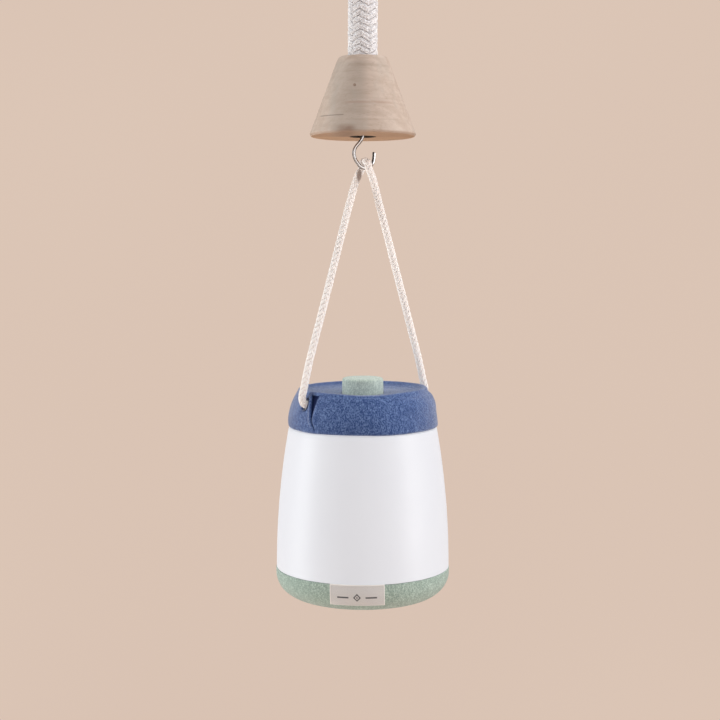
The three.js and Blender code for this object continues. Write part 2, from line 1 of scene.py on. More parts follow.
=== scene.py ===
"""The looks of a hanging night lantern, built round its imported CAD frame.

Shapes are laid out in millimetres and turned to metres as each mesh is made. The heights of the cone's top
face, the cap's rim and the top fittings come from the frame's own boxes.
"""
import math
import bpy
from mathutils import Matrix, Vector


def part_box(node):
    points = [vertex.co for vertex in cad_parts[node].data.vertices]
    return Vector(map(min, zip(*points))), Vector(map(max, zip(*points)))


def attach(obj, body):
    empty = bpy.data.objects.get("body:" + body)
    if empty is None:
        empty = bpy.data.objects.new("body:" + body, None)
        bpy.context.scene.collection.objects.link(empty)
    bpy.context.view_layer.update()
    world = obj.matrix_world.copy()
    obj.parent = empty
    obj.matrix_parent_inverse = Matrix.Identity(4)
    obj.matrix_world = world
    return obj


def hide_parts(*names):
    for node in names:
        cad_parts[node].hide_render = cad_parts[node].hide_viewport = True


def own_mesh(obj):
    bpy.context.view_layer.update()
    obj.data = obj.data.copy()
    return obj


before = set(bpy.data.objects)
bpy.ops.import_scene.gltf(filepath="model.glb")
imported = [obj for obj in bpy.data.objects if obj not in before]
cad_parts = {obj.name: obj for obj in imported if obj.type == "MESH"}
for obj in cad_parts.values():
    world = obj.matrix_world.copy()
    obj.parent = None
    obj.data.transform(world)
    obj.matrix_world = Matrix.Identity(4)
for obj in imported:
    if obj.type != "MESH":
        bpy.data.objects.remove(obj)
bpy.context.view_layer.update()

from types import SimpleNamespace as Sizes

import bpy
import bmesh
import numpy as np
from mathutils import Vector

# ---------------- dimensions, in millimetres

MM = 0.001


def top_of(node):
    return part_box(node)[1].z / MM


def bottom_of(node):
    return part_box(node)[0].z / MM


CONE_TOP = top_of("rope_cone")
RIM = top_of("cap_cover")
ROPE_TOP, ROPE_BOTTOM = top_of("thick_rope"), bottom_of("thick_rope")
CAP_BOX_TOP, CAP_BOX_BOTTOM = top_of("rope_cap"), bottom_of("rope_cap")

ROPE = Sizes(radius=9.4, puff=0.4, columns=10, pitch=4.35, slant=0.62, relief=1.5, turn=-8,
             dive=0.25, yarn=0.38, stray=0.22)
CORD = Sizes(radius=2.45, puff=0.05, columns=6, pitch=3.7, slant=0.6, relief=0.7, turn=75,
             dive=0.2, yarn=0.1, stray=0.05)
HOLE = Sizes(azimuth={1: 29, -1: 216}, z=-220.9, width=6.4, height=7.8)  # right and left cord holes, degrees
HOOK = Sizes(wire=1.1, bowl_x=1.6, bowl_z=-65.3, bowl_radius=5.2, mouth_top=-31.1)
LOOP = Sizes(spread=2.1, reach=4.35)  # where the thin cord goes over the hook's wire
CONE = Sizes(height=50.6, top=15.7, base=33.65, bore=9.8, bore_depth=28, mouth=8.25, mouth_depth=19.5)
CAP = Sizes(rim=42.4, edge=49.0, dish=1.8, shoulder=0.9, skirt=22.5, height=24.4, felt=1.5, hole=14.0,
            crease_azimuth=230, crease_x=-32.4)  # the crease's left edge hangs straight down at that X
SHADE = Sizes(top=48.5, bottom=56.6, start=24.8, end=116.5, wall=2.2, neck=44.2, neck_top=18.0)
BASE = Sizes(top=116.9, bottom=136.3, radius=56.9, edge_width=18, edge_height=16, felt=1.3)
BUTTON = Sizes(radius=13.5, rise=7.7, sink=4.5, felt=1.4)
LABEL = Sizes(width=34.8, height=14.7, over=0.6, azimuth=math.radians(266.3))
CAMERA = Sizes(lens=70.3, x=-1.8, distance=914, drop=114.8, pitch=5)  # the drop is from the cone's top face
LINK = Sizes(wire=1.5, eye=5.5, ring=7.0, shank=1.3, eye_z=-24.3, ring_z=-33.5, screw_eye_z=-42.7,
             thread=0.22, pitch=1.1, plain=2.2)
SPRING = Sizes(wire=0.45, turns=5, travel=2.5, clear=0.1)
DARK_REFLECTION_BANDS = ((156, 38), (44, 13), (62, 48))  # painted dark reflection bands on the left, right and tip of the hook: middle and half width in degrees
HOOK_SHADOW = Sizes(centre=(-2.2, 2.0, CONE_TOP - 75.0), size=(2.4, 9.0, 6.0))  # painted shadow where the cord's left leg passes behind the hook's wire
SHARP_DEGREES = 38
LIT_PLACE = Vector((0, 0, -0.32))  # where every light is aimed, in metres

# ---------------- camera, lights and world


def add_node(tree, kind, inputs=None, **settings):
    """A shader node with its inputs set to values or linked to other nodes' outputs."""
    made = tree.nodes.new("ShaderNode" + kind)
    for key, value in settings.items():
        setattr(made, key, value)
    for key, value in (inputs or {}).items():
        if isinstance(value, bpy.types.NodeSocket):
            tree.links.new(value, made.inputs[key])
        else:
            made.inputs[key].default_value = value
    return made


def add_camera():
    data = bpy.data.cameras.new("camera")
    data.lens = CAMERA.lens
    data.sensor_width = 36
    camera = bpy.data.objects.new("camera", data)
    camera.location = Vector((CAMERA.x, -CAMERA.distance, CONE_TOP - CAMERA.drop)) * MM
    camera.rotation_euler = (math.radians(90 - CAMERA.pitch), 0, 0)
    bpy.context.scene.collection.objects.link(camera)
    bpy.context.scene.camera = camera


def add_light(name, location, size, power, color):
    data = bpy.data.lights.new(name, "AREA")
    data.shape = "RECTANGLE"
    data.size, data.size_y = size
    data.energy = power
    data.color = color
    light = bpy.data.objects.new(name, data)
    light.location = location
    light.rotation_euler = (LIT_PLACE - light.location).to_track_quat("-Z", "Y").to_euler()
    light.visible_camera = False
    bpy.context.scene.collection.objects.link(light)


def add_lights():
    cool = (0.97, 0.98, 1.0)
    add_light("light_left", (-1.25, -0.05, -0.30), (0.6, 2.2), 18, (0.93, 0.98, 1.0))
    add_light("light_right", (1.20, -0.40, -0.05), (0.7, 1.6), 14, cool)
    add_light("light_top", (0.15, 0.1, 0.85), (0.8, 0.8), 8, cool)
    add_light("light_front", (0.22, -1.25, -0.12), (0.7, 1.5), 3.0, cool)


def add_world():
    """A pale warm studio wall. What it sheds on the object is dimmer than what the camera sees of it."""
    world = bpy.data.worlds.new("studio")
    world.use_nodes = True
    tree = world.node_tree
    coords = add_node(tree, "TexCoord").outputs["Generated"]
    cloud = add_node(tree, "TexNoise", {"Vector": coords, "Scale": 2.2, "Detail": 1}).outputs["Fac"]
    up = add_node(tree, "SeparateXYZ", {0: coords}).outputs["Z"]
    height = add_node(tree, "MapRange", {"Value": up, "From Min": -0.7, "From Max": 0.7}).outputs[0]
    wall = {0: cloud, 6: (0.735, 0.585, 0.485, 1), 7: (0.665, 0.515, 0.430, 1)}
    bounce = {0: height, 6: (0.49, 0.30, 0.175, 1), 7: (0.38, 0.385, 0.41, 1)}
    seen, shed = (add_node(tree, "Mix", colors, data_type="RGBA").outputs[2] for colors in (wall, bounce))
    seen = add_node(tree, "Background", {"Color": seen})
    shed = add_node(tree, "Background", {"Color": shed, "Strength": 0.74})
    camera_ray = add_node(tree, "LightPath").outputs["Is Camera Ray"]
    choice = add_node(tree, "MixShader", {0: camera_ray, 1: shed.outputs[0], 2: seen.outputs[0]})
    tree.links.new(choice.outputs[0], tree.nodes["World Output"].inputs["Surface"])
    bpy.context.scene.world = world
    bpy.context.scene.view_settings.view_transform = "Standard"


# ---------------- materials


class Look:
    """A node material built up step by step round one Principled shader, with lengths in millimetres.

    base is the colour so far, and each tint lays another one over it.
    """

    def __init__(self, name, color, roughness, **settings):
        self.material = bpy.data.materials.new(name)
        self.material.use_nodes = True
        self.tree = self.material.node_tree
        self.shader = self.tree.nodes["Principled BSDF"]
        self.shader.inputs["Base Color"].default_value = (*color, 1)
        self.shader.inputs["Roughness"].default_value = roughness
        for socket, value in settings.items():
            self.shader.inputs[socket.replace("_", " ")].default_value = value

    def node(self, kind, inputs=None, **settings):
        return add_node(self.tree, kind, inputs, **settings)

    def place(self, stretch=(1, 1, 1), source="Object", turn=(0, 0, 0)):
        """Texture coordinates, stretched so that a detail is that much longer along each axis."""
        coords = self.node("TexCoord")
        inputs = {"Vector": coords.outputs[source], "Scale": tuple(1 / s for s in stretch), "Rotation": turn}
        return self.node("Mapping", inputs).outputs[0]

    def noise(self, size, stretch=(1, 1, 1), detail=2, roughness=0.6, distortion=0.0, **place):
        inputs = {"Vector": self.place(stretch, **place), "Scale": 1 / (size * MM), "Detail": detail,
                  "Roughness": roughness, "Distortion": distortion}
        return self.node("TexNoise", inputs).outputs["Fac"]

    def waves(self, size, place, distortion, direction):
        inputs = {"Vector": place, "Scale": 1 / (size * MM), "Distortion": distortion}
        return self.node("TexWave", inputs, bands_direction=direction).outputs["Fac"]

    def attribute(self, name):
        return self.node("Attribute", attribute_name=name).outputs["Fac"]

    def within(self, axis, low, high, soft):
        """1 between two positions along an axis, fading out over a soft distance beyond them."""
        along = self.node("SeparateXYZ", {0: self.node("TexCoord").outputs["Object"]}).outputs[axis]
        rise = self.ramp(along, (low - soft) * MM, low * MM)
        fall = self.ramp(along, high * MM, (high + soft) * MM, 1.0, 0.0)
        return self.times(rise, fall)

    def patch(self, x_span, z_span, soft_x, soft_z, amount):
        """A soft-edged area on the front of a piece, with a strength."""
        area = self.times(self.within("X", *x_span, soft_x), self.within("Z", *z_span, soft_z))
        front = self.times(self.within("Y", -80, -4, 6), amount)
        return self.times(area, front)

    def ramp(self, value, low, high, to_low=0.0, to_high=1.0):
        inputs = {"Value": value, "From Min": low, "From Max": high, "To Min": to_low, "To Max": to_high}
        return self.node("MapRange", inputs, interpolation_type="SMOOTHSTEP").outputs[0]

    def math(self, operation, a, b):
        return self.node("Math", {0: a, 1: b}, operation=operation).outputs[0]

    def times(self, a, b):
        return self.math("MULTIPLY", a, b)

    def mix(self, factor, a, b):
        a, b = (x if isinstance(x, bpy.types.NodeSocket) else (*x, 1) for x in (a, b))
        return self.node("Mix", {0: factor, 6: a, 7: b}, data_type="RGBA").outputs[2]

    def grade(self, mask, low, high, first, second):
        """Starts the base, going from one colour to another as the mask goes from low to high."""
        self.base = self.mix(self.ramp(mask, low, high), first, second)

    def tint(self, mask, low, high, amount, color):
        """Lays a colour over the base, up to the amount, as the mask goes from low to high."""
        self.base = self.mix(self.ramp(mask, low, high, 0, amount), self.base, color)

    def cover(self, mask, color):
        self.base = self.mix(mask, self.base, color)

    def set(self, name, socket):
        self.tree.links.new(socket, self.shader.inputs[name])

    def finish(self):
        self.set("Base Color", self.base)
        return self.material

    def bump(self, height, depth, strength=1.0):
        """Adds relief of the given depth in millimetres on top of any relief already there."""
        bump = self.node("Bump", {"Height": height, "Distance": depth * MM, "Strength": strength})
        normal = self.shader.inputs["Normal"]
        if normal.is_linked:
            self.tree.links.new(normal.links[0].from_socket, bump.inputs["Normal"])
        self.tree.links.new(bump.outputs[0], normal)


def shaded(color, share):
    return tuple(share * c for c in color)


def felt_look(name, light, dark, crease, sheen):
    """Wool felt: a matted nap of short fibres with lighter tips over a darker ground."""
    look = Look(name, light, 0.95, Sheen_Roughness=0.45, Specular_IOR_Level=0.12)
    nap = look.noise(0.8, (1, 1, 1.4), detail=4, roughness=0.66, distortion=0.3)
    fibres = look.noise(0.35, (1, 1, 1.5), detail=3, roughness=0.7, distortion=1.2)
    flecks = look.math("ADD", look.times(nap, 0.68), look.times(fibres, 0.32))
    brushed = look.noise(2.2, (1, 1, 3.5), turn=(0, math.radians(28), 0))
    look.grade(flecks, 0.455, 0.56, dark, light)
    look.tint(brushed, 0.42, 0.66, 0.5, dark)
    look.tint(look.noise(26), 0.35, 0.75, 0.22, dark)
    # Painted shade where the crease value is set, with no sheen there.
    look.cover(look.attribute("crease"), crease)
    look.set("Sheen Weight", look.ramp(look.attribute("crease"), 0.0, 0.8, sheen, 0.0))
    look.bump(nap, 0.5, 0.65)
    look.bump(fibres, 0.20, 0.6)
    return look.finish()


def cotton_look(name, light, shadow, groove, glow):
    """Spun cotton yarn: fine fibres along each strand, and painted shade in the grooves between strands.

    Its glow is painted light.
    """
    # The emission is a painted glow that brightens the cotton.
    look = Look(name, light, 0.9, Sheen_Weight=0.2, Sheen_Roughness=0.5, Subsurface_Weight=0.35,
                Subsurface_Scale=0.002, Subsurface_Radius=(1.0, 0.95, 0.9), Specular_IOR_Level=0.2,
                Emission_Color=(*light, 1), Emission_Strength=glow)
    fibres = look.noise(0.75, (0.35, 2.4, 1), detail=4, roughness=0.65, distortion=0.5, source="UV")
    hairs = look.noise(0.16, (0.35, 2.6, 1), source="UV")
    broken = look.ramp(look.noise(1.3, detail=3), 0.34, 0.52, 0.5, 1.0)
    look.grade(fibres, 0.38, 0.58, shadow, light)
    look.tint(look.noise(9), 0.4, 0.8, 0.15, shadow)
    # Painted shade in the grooves between strands.
    look.cover(look.times(look.attribute("groove"), broken), groove)
    # Painted shadow of the hook on the cord.
    look.cover(look.attribute("painted_shadow"), (0.27, 0.17, 0.12))
    look.bump(fibres, 0.5, 0.8)
    look.bump(hairs, 0.10, 0.7)
    return look.finish()


# Marks on the cone's front: span in x, span below its top face, softness in x and z, strength and colour.
# Painted shade: a grey band down the cone's left front.
PAINTED_SHADE_SIDE = ((-17, -2), (50, 6), 7, 5, 0.42, (0.36, 0.31, 0.26))
GROWTH_RING = ((-8, 16), (31.2, 30.4), 5, 0.6, 0.32, (0.36, 0.21, 0.15))
# Painted shade: a thin darker ring a little below the top face.
PAINTED_SHADE_RING = ((-6, 15), (7.4, 6.4), 5, 0.8, 0.22, (0.33, 0.24, 0.18))
SMUDGE = ((-12, -9), (50, 47), 7, 3, 1.3, (0.26, 0.16, 0.11))
FOOT_EDGE = ((-40, 40), (51, 49.4), 1, 1.2, 0.4, (0.38, 0.24, 0.16))
DRYING_CRACK = ((-26, -12.8), (38.9, 38.6), 1.5, 0.3, 0.7, (0.2, 0.16, 0.13))


def mark_cone(look, streaks):
    for mark in (PAINTED_SHADE_SIDE, GROWTH_RING, PAINTED_SHADE_RING, SMUDGE, FOOT_EDGE, DRYING_CRACK):
        x_span, drop, soft_x, soft_z, amount, color = mark
        mask = look.patch(x_span, [CONE_TOP - z for z in drop], soft_x, soft_z, amount)
        look.cover(look.times(mask, streaks) if mark is SMUDGE else mask, color)


def wood_look(name, light, dark, ring_color, marks=None):
    """Pale turned beech: faint growth rings, long soft streaks and short dark flecks along the grain."""
    look = Look(name, light, 0.55, Specular_IOR_Level=0.35)
    streaks = look.noise(4.2, (9, 1, 1), detail=4, distortion=0.3)
    flecks = look.noise(0.9, (4.95, 0.55, 0.55), detail=1, roughness=0.4)
    rings = look.noise(17, (3.2, 1, 0.55), roughness=0.45, distortion=1.1)
    rings = look.math("PINGPONG", look.times(rings, 9.0), 1.0)
    turning = look.noise(1.5, (60, 60, 1), detail=3, roughness=0.7)
    look.grade(streaks, 0.3, 0.72, dark, light)
    look.tint(rings, 0.80, 1.0, 0.16, ring_color)
    look.tint(turning, 0.52, 0.72, 0.30, ring_color)
    look.tint(look.noise(30), 0.35, 0.7, 0.35, dark)
    look.tint(look.noise(7, (1, 1, 4)), 0.45, 0.7, 0.35, (0.50, 0.44, 0.375))
    look.tint(flecks, 0.64, 0.72, 0.35, ring_color)
    # Painted warm light from below, on faces that look down.
    look.cover(look.times(look.attribute("under"), 0.85), (0.59, 0.365, 0.215))
    if marks:
        marks(look, streaks)
    # Painted shade on the wall of the cone's mouth, where the crease value is set.
    look.cover(look.attribute("crease"), shaded(ring_color, 0.12))
    look.set("Roughness", look.ramp(streaks, 0.2, 0.8, 0.62, 0.48))
    look.bump(turning, 0.08, 0.5)
    look.bump(streaks, 0.10, 0.5)
    look.bump(flecks, 0.06, 0.4)
    return look.finish()


def metal_look(name, color, roughness, brushing=0.5, metallic=1.0):
    """Polished or satin metal with fine scratches and a little haze. Rust is less than fully metallic. Where
    the groove value is set, painted dark reflection covers it and it is less metallic.
    """
    look = Look(name, color, roughness)
    scratches = look.noise(0.25, (1, 1, 14), detail=3, roughness=0.7)
    haze = look.noise(5, detail=3)
    look.set("Roughness", look.ramp(haze, 0.3, 0.75, roughness * 0.8, roughness * 1.5))
    look.base = look.mix(look.ramp(haze, 0.45, 0.85, 0, 0.35), color, shaded(color, 0.72))
    # Painted dark reflection, read from the groove value.
    painted_dark_reflection = look.attribute("groove")
    look.cover(painted_dark_reflection, shaded(color, 0.06))
    look.set("Metallic", look.ramp(painted_dark_reflection, 0.0, 1.0, metallic, 0.2))
    look.bump(scratches, 0.012, brushing)
    return look.finish()


def shade_look(name):
    """Milky moulded plastic: satin, a little light inside it, a painted glow that brightens and evens it, and
    a barely uneven skin.
    """
    look = Look(name, (0.83, 0.81, 0.865), 0.42, Subsurface_Weight=0.22, Subsurface_Scale=0.006,
                Subsurface_Radius=(1.0, 0.95, 0.95), Specular_IOR_Level=0.4,
                Emission_Color=(0.83, 0.83, 0.865, 1), Emission_Strength=0.50)
    # The emission set above is a painted glow; the lamp is not lit.
    flow = look.noise(38, (1, 1, 2.2))
    look.grade(flow, 0.3, 0.8, (0.40, 0.41, 0.43), (0.375, 0.385, 0.41))
    look.set("Roughness", look.ramp(flow, 0.3, 0.75, 0.38, 0.47))
    look.bump(look.noise(0.7, detail=3, roughness=0.55), 0.02, 0.35)
    return look.finish()


def plastic_look(name, color, roughness=0.5, grain=0.5):
    """Injection-moulded plastic with a spark-eroded texture and faint flow marks."""
    look = Look(name, color, roughness)
    flow = look.noise(14, (1, 1, 2))
    skin = look.noise(grain, detail=3)
    look.grade(flow, 0.35, 0.8, color, shaded(color, 0.88))
    look.set("Roughness", look.ramp(skin, 0.3, 0.7, roughness - 0.06, roughness + 0.08))
    look.bump(skin, 0.03, 0.5)
    return look.finish()


def label_look(name):
    """Plain-woven cotton tape: warp and weft threads, paler turned edges and a darker printed motif."""
    look = Look(name, (0.62, 0.56, 0.50), 0.92, Sheen_Weight=0.15)
    place = look.place(source="UV")
    warp_pitch, weft_pitch = 0.42, 0.38
    bands = 6.283 / 2  # a wave texture's bands are this much closer than its scale says
    warp = look.waves(warp_pitch * bands, place, 0.35, "X")
    weft = look.waves(weft_pitch * bands, place, 0.35, "Y")
    weave = look.times(warp, weft)
    slubs = look.noise(2.6, (4, 0.6, 1), detail=3, source="UV")
    look.grade(weave, 0.05, 0.7, (0.66, 0.64, 0.62), (0.86, 0.85, 0.835))
    look.tint(slubs, 0.45, 0.75, 0.3, (0.84, 0.80, 0.75))
    look.cover(look.attribute("edge"), (0.93, 0.90, 0.87))
    look.cover(look.attribute("ink"), (0.085, 0.085, 0.09))
    look.bump(weave, 0.12, 0.6)
    return look.finish()


def board_look(name):
    """Green circuit board: solder mask with copper tracks just showing through."""
    look = Look(name, (0.03, 0.16, 0.07), 0.38, Coat_Weight=0.3)
    tracks = look.node("TexBrick", {"Vector": look.place(), "Scale": 1 / (9 * MM), "Mortar Size": 0.035,
                                    "Color1": (0.03, 0.16, 0.07, 1), "Color2": (0.035, 0.18, 0.08, 1),
                                    "Mortar": (0.10, 0.30, 0.12, 1)})
    look.base = tracks.outputs["Color"]
    look.tint(look.noise(0.5), 0.3, 0.7, 0.2, (0.02, 0.10, 0.05))
    look.bump(tracks.outputs["Fac"], 0.03, 0.5)
    return look.finish()


def cell_look(name):
    """A shrink-wrapped cell: a plain two-tone sleeve with bare metal towards the ends of it."""
    look = Look(name, (0.10, 0.16, 0.22), 0.32, Coat_Weight=0.4)
    bands = look.waves(19, look.place(), 0.1, "DIAGONAL")
    scuffs = look.noise(1.2, (1, 1, 5), detail=3)
    look.grade(bands, 0.55, 0.6, (0.08, 0.13, 0.19), (0.42, 0.44, 0.44))
    look.tint(scuffs, 0.6, 0.75, 0.3, (0.5, 0.5, 0.5))
    look.bump(scuffs, 0.02, 0.4)
    return look.finish()


def led_look(name):
    look = Look(name, (0.86, 0.78, 0.50), 0.12, Transmission_Weight=0.6, IOR=1.5)
    phosphor = look.noise(1.6, detail=3)
    look.grade(phosphor, 0.3, 0.7, (0.90, 0.84, 0.62), (0.82, 0.66, 0.26))
    look.bump(phosphor, 0.02, 0.4)
    return look.finish()


def floor_look(name):
    look = Look(name, (0.72, 0.59, 0.50), 0.8, Emission_Color=(0.80, 0.63, 0.52, 1), Emission_Strength=0.24)
    grain = look.noise(40, detail=4)
    look.base = look.mix(grain, (0.74, 0.61, 0.52), (0.70, 0.57, 0.48))
    look.bump(grain, 0.5, 0.2)
    return look.finish()


# Each look's maker, and what it is given after the name.
RECIPES = {
    "wood": (wood_look, (0.60, 0.485, 0.40), (0.49, 0.375, 0.30), (0.34, 0.23, 0.16)),
    "cone_wood": (wood_look, (0.62, 0.505, 0.42), (0.51, 0.395, 0.315), (0.34, 0.23, 0.16), mark_cone),
    "steel": (metal_look, (0.46, 0.45, 0.44), 0.22),
    "hook_steel": (metal_look, (0.93, 0.92, 0.92), 0.12, 0.15),
    "iron": (metal_look, (0.42, 0.32, 0.255), 0.7, 0.5, 0.2),
    "brass": (metal_look, (0.62, 0.44, 0.19), 0.28),
    "rope_cotton": (cotton_look, (0.95, 0.93, 0.93), (0.74, 0.715, 0.72), (0.24, 0.22, 0.225), 0.03),
    "cord_cotton": (cotton_look, (0.97, 0.91, 0.87), (0.86, 0.79, 0.745), (0.17, 0.145, 0.13), 0.12),
    # A felt's third colour is the painted shade laid into its creases and round its holes.
    "blue_felt": (felt_look, (0.158, 0.245, 0.47), (0.028, 0.064, 0.20), (0.005, 0.011, 0.048), 0.6),
    "green_felt": (felt_look, (0.545, 0.655, 0.575), (0.29, 0.375, 0.32), (0.10, 0.12, 0.10), 0.25),
    # The button's felt is the green felt painted lighter, standing in for light the button lacks.
    "button_felt": (felt_look, (0.78, 0.87, 0.76), (0.48, 0.57, 0.49), (0.10, 0.12, 0.10), 0.3),
    "shade_plastic": (shade_look,),
    "white_plastic": (plastic_look, (0.74, 0.73, 0.71), 0.5),
    "label_cloth": (label_look,),
    "board": (board_look,),
    "cell": (cell_look,),
    "led": (led_look,),
    "black_plastic": (plastic_look, (0.025, 0.025, 0.028), 0.42, 0.4),
    "red_wire": (plastic_look, (0.46, 0.04, 0.03), 0.4, 0.3),
    "floor": (floor_look,),
}
LOOKS = {name: make(name, *values) for name, (make, *values) in RECIPES.items()}

# ---------------- meshes


def ease(x):
    """0 to 1 as x goes from 0 to 1, with a soft start and end."""
    x = np.clip(x, 0, 1)
    return x * x * (3 - 2 * x)


def full_turn(count):
    """Angles at equal steps once round."""
    return np.linspace(0, 2 * np.pi, count, endpoint=False)


def lengths_along(line):
    """The length of a line from its start to each of its points."""
    return np.r_[0, np.cumsum(np.linalg.norm(np.diff(line, axis=0), axis=1))]


def make_piece(name, points, faces, corner_uvs=None, values=None):
    """A smooth-shaded object from points in millimetres. values holds a number per point for each name."""
    mesh = bpy.data.meshes.new(name)
    mesh.from_pydata((np.asarray(points, float) * MM).tolist(), [], faces)
    if corner_uvs is not None:
        layer = mesh.uv_layers.new(name="UVMap")
        layer.data.foreach_set("uv", (np.asarray(corner_uvs, np.float32) * MM).ravel())
    for key, numbers in (values or {}).items():
        attribute = mesh.attributes.new(key, "FLOAT", "POINT")
        attribute.data.foreach_set("value", np.asarray(numbers, np.float32).ravel())
    mesh.polygons.foreach_set("use_smooth", [True] * len(mesh.polygons))
    piece = bpy.data.objects.new(name, mesh)
    bpy.context.scene.collection.objects.link(piece)
    work = bmesh.new()
    work.from_mesh(mesh)
    bmesh.ops.recalc_face_normals(work, faces=work.faces)
    work.to_mesh(mesh)
    work.free()
    mesh.set_sharp_from_angle(angle=math.radians(SHARP_DEGREES))
    return piece


def skin(name, rings, closed_rows=False, values=None):
    """A surface through rings of points (rows, columns, 3). Open ends are closed with a fan."""
    rows, columns = rings.shape[:2]
    spans = rows if closed_rows else rows - 1
    corners = [((i, j), (i, j + 1), (i + 1, j + 1), (i + 1, j)) for i in range(spans) for j in range(columns)]
    faces = [tuple(i % rows * columns + j % columns for i, j in face) for face in corners]
    around = np.linalg.norm(np.diff(rings[rows // 2], axis=0), axis=1).mean()
    along = lengths_along(rings[:, 0])
    along = np.r_[along, along[-1] + 1]
    uvs = [(j * around, along[i]) for face in corners for i, j in face]
    points = rings.reshape(-1, 3)
    values = {key: numbers.ravel() for key, numbers in (values or {}).items()}
    if not closed_rows:
        for row in (0, rows - 1):
            centre = len(points)
            points = np.vstack([points, rings[row].mean(axis=0)])
            values = {key: np.r_[numbers, 0] for key, numbers in values.items()}
            for j in range(columns):
                faces.append((centre, row * columns + j, row * columns + (j + 1) % columns))
                uvs += [(0, 0), (j * around, 1), ((j + 1) * around, 1)]
    return make_piece(name, points, faces, uvs, values)


def rounded(corners, steps=5):
    """An outline of (radius, height, rounding) corners with each corner rounded by a short curve."""
    points = []
    count = len(corners)
    for i, (x, z, size) in enumerate(corners):
        here = np.array([x, z], float)
        if size <= 0:
            points.append(here)
            continue
        before = np.array(corners[i - 1][:2], float) - here
        after = np.array(corners[(i + 1) % count][:2], float) - here
        reach = [min(size, 0.49 * np.linalg.norm(v)) for v in (before, after)]
        start = here + before / np.linalg.norm(before) * reach[0]
        end = here + after / np.linalg.norm(after) * reach[1]
        for t in np.linspace(0, 1, steps + 1):
            points.append((1 - t) ** 2 * start + 2 * t * (1 - t) * here + t**2 * end)
    return np.array(points)


def stepped(outline, step, closed):
    """The outline with more points, so that no stretch of it is longer than step."""
    ends = np.roll(outline, -1, axis=0) if closed else outline[1:]
    points = []
    for a, b in zip(outline, ends):
        parts = max(1, int(np.ceil(np.linalg.norm(b - a) / step)))
        points += [a + (b - a) * k / parts for k in range(parts)]
    if not closed:
        points.append(outline[-1])
    return np.array(points)


def turned(name, outline, angles=96, closed=False, warp=None):
    """An outline of (radius, height) points turned about the Z axis.

    warp gets the angles and the outline's radii and heights as columns, and gives the rings' own radii and
    heights and how much painted shade each point gets (its crease value).
    """
    theta = full_turn(angles) if isinstance(angles, int) else angles
    r, z = outline[:, :1], outline[:, 1:]
    up = outward_normals(outline)[:, 1:]
    around = 0 * theta
    radius, height, crease = warp(theta, r, z) if warp else (r + around, z + around, 0 * r + around)
    # Faces that look down are marked under, for a painted tint of warm light thrown up from below.
    values = {"crease": crease, "under": ease((-up - 0.7) / 0.25) + around}
    rings = np.stack([radius * np.cos(theta), radius * np.sin(theta), height], axis=-1)
    return skin(name, rings, closed, values)


def swept(path, radius, sides=16, turn=0.0):
    """Rings of a round tube along a path, with frames that don't twist.

    radius is a number, or one for each point of the path or of the rings.
    """
    tangent = np.gradient(path, axis=0)
    tangent /= np.linalg.norm(tangent, axis=1)[:, None]
    side = np.cross(tangent[0], [0.0, 1.0, 0.0])
    if np.linalg.norm(side) < 0.1:
        side = np.cross(tangent[0], [1.0, 0.0, 0.0])
    across = np.empty_like(path)
    for i, t in enumerate(tangent):
        side = side - t * (side @ t)
        side = side / np.linalg.norm(side)
        across[i] = side
    up = np.cross(tangent, across)
    angle = turn + full_turn(sides)
    around = across[:, None] * np.cos(angle)[None, :, None] + up[:, None] * np.sin(angle)[None, :, None]
    radius = np.asarray(radius, float)
    if radius.ndim < 2:
        radius = np.broadcast_to(radius, (len(path),))[:, None]
    return path[:, None] + around * radius[..., None]


def curve_through(points, step):
    """A smooth centripetal curve through points, at about the given step."""
    p = np.array(points, float)
    p = np.vstack([2 * p[0] - p[1], p, 2 * p[-1] - p[-2]])
    made = []
    for four in zip(p, p[1:], p[2:], p[3:]):
        knots = np.r_[0, np.cumsum(np.linalg.norm(np.diff(four, axis=0), axis=1) ** 0.5)]
        t = np.linspace(knots[1], knots[2], 40, endpoint=False)[:, None]
        level = list(four)
        for reach, starts in ((1, (0, 1, 2)), (2, (0, 1)), (1, (1,))):
            ends = [(knots[i], knots[i + reach]) for i in starts]
            level = [(b - t) / (b - a) * level[k] + (t - a) / (b - a) * level[k + 1]
                     for k, (a, b) in enumerate(ends)]
        made.append(level[0])
    return evenly(np.vstack([*made, p[-2][None]]), step)


def evenly(line, step):
    """The same line with its points at equal steps."""
    lengths = lengths_along(line)
    places = np.linspace(0, lengths[-1], int(round(lengths[-1] / step)) + 1)
    return np.stack([np.interp(places, lengths, line[:, k]) for k in range(3)], axis=1)


def arc(centre, radius, start, end, steps, tall=None):
    """Points (x, z) on an arc, with angles in degrees. tall is its upright radius where that differs."""
    angles = np.radians(np.linspace(start, end, steps + 1))
    return [(centre[0] + radius * math.cos(a), centre[1] + (tall or radius) * math.sin(a)) for a in angles]


def cut_away(piece, *tools):
    """Takes the tools' solids out of the piece."""
    for tool in tools:
        modifier = piece.modifiers.new("cut", "BOOLEAN")
        modifier.object = tool
        modifier.operation = "DIFFERENCE"
        modifier.solver = "EXACT"
    bpy.context.view_layer.update()
    graph = bpy.context.evaluated_depsgraph_get()
    made = bpy.data.meshes.new_from_object(piece.evaluated_get(graph))
    piece.modifiers.clear()
    piece.data = made
    made.set_sharp_from_angle(angle=math.radians(SHARP_DEGREES))
    for tool in tools:
        bpy.data.objects.remove(tool)
    return piece


def merged(piece, *others):
    """Joins other meshes into the piece as they are."""
    work = bmesh.new()
    for part in (piece, *others):
        work.from_mesh(part.data)
    work.to_mesh(piece.data)
    work.free()
    for part in others:
        bpy.data.objects.remove(part)
    return piece


def finish_piece(piece, look, body, *nodes):
    """Gives the piece its look, the CAD body that it rides on and the CAD nodes that it stands for."""
    piece.data.materials.clear()
    piece.data.materials.append(LOOKS[look])
    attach(piece, body)
    if nodes:
        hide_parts(*nodes)
    return piece


# ---------------- braided rope and cord


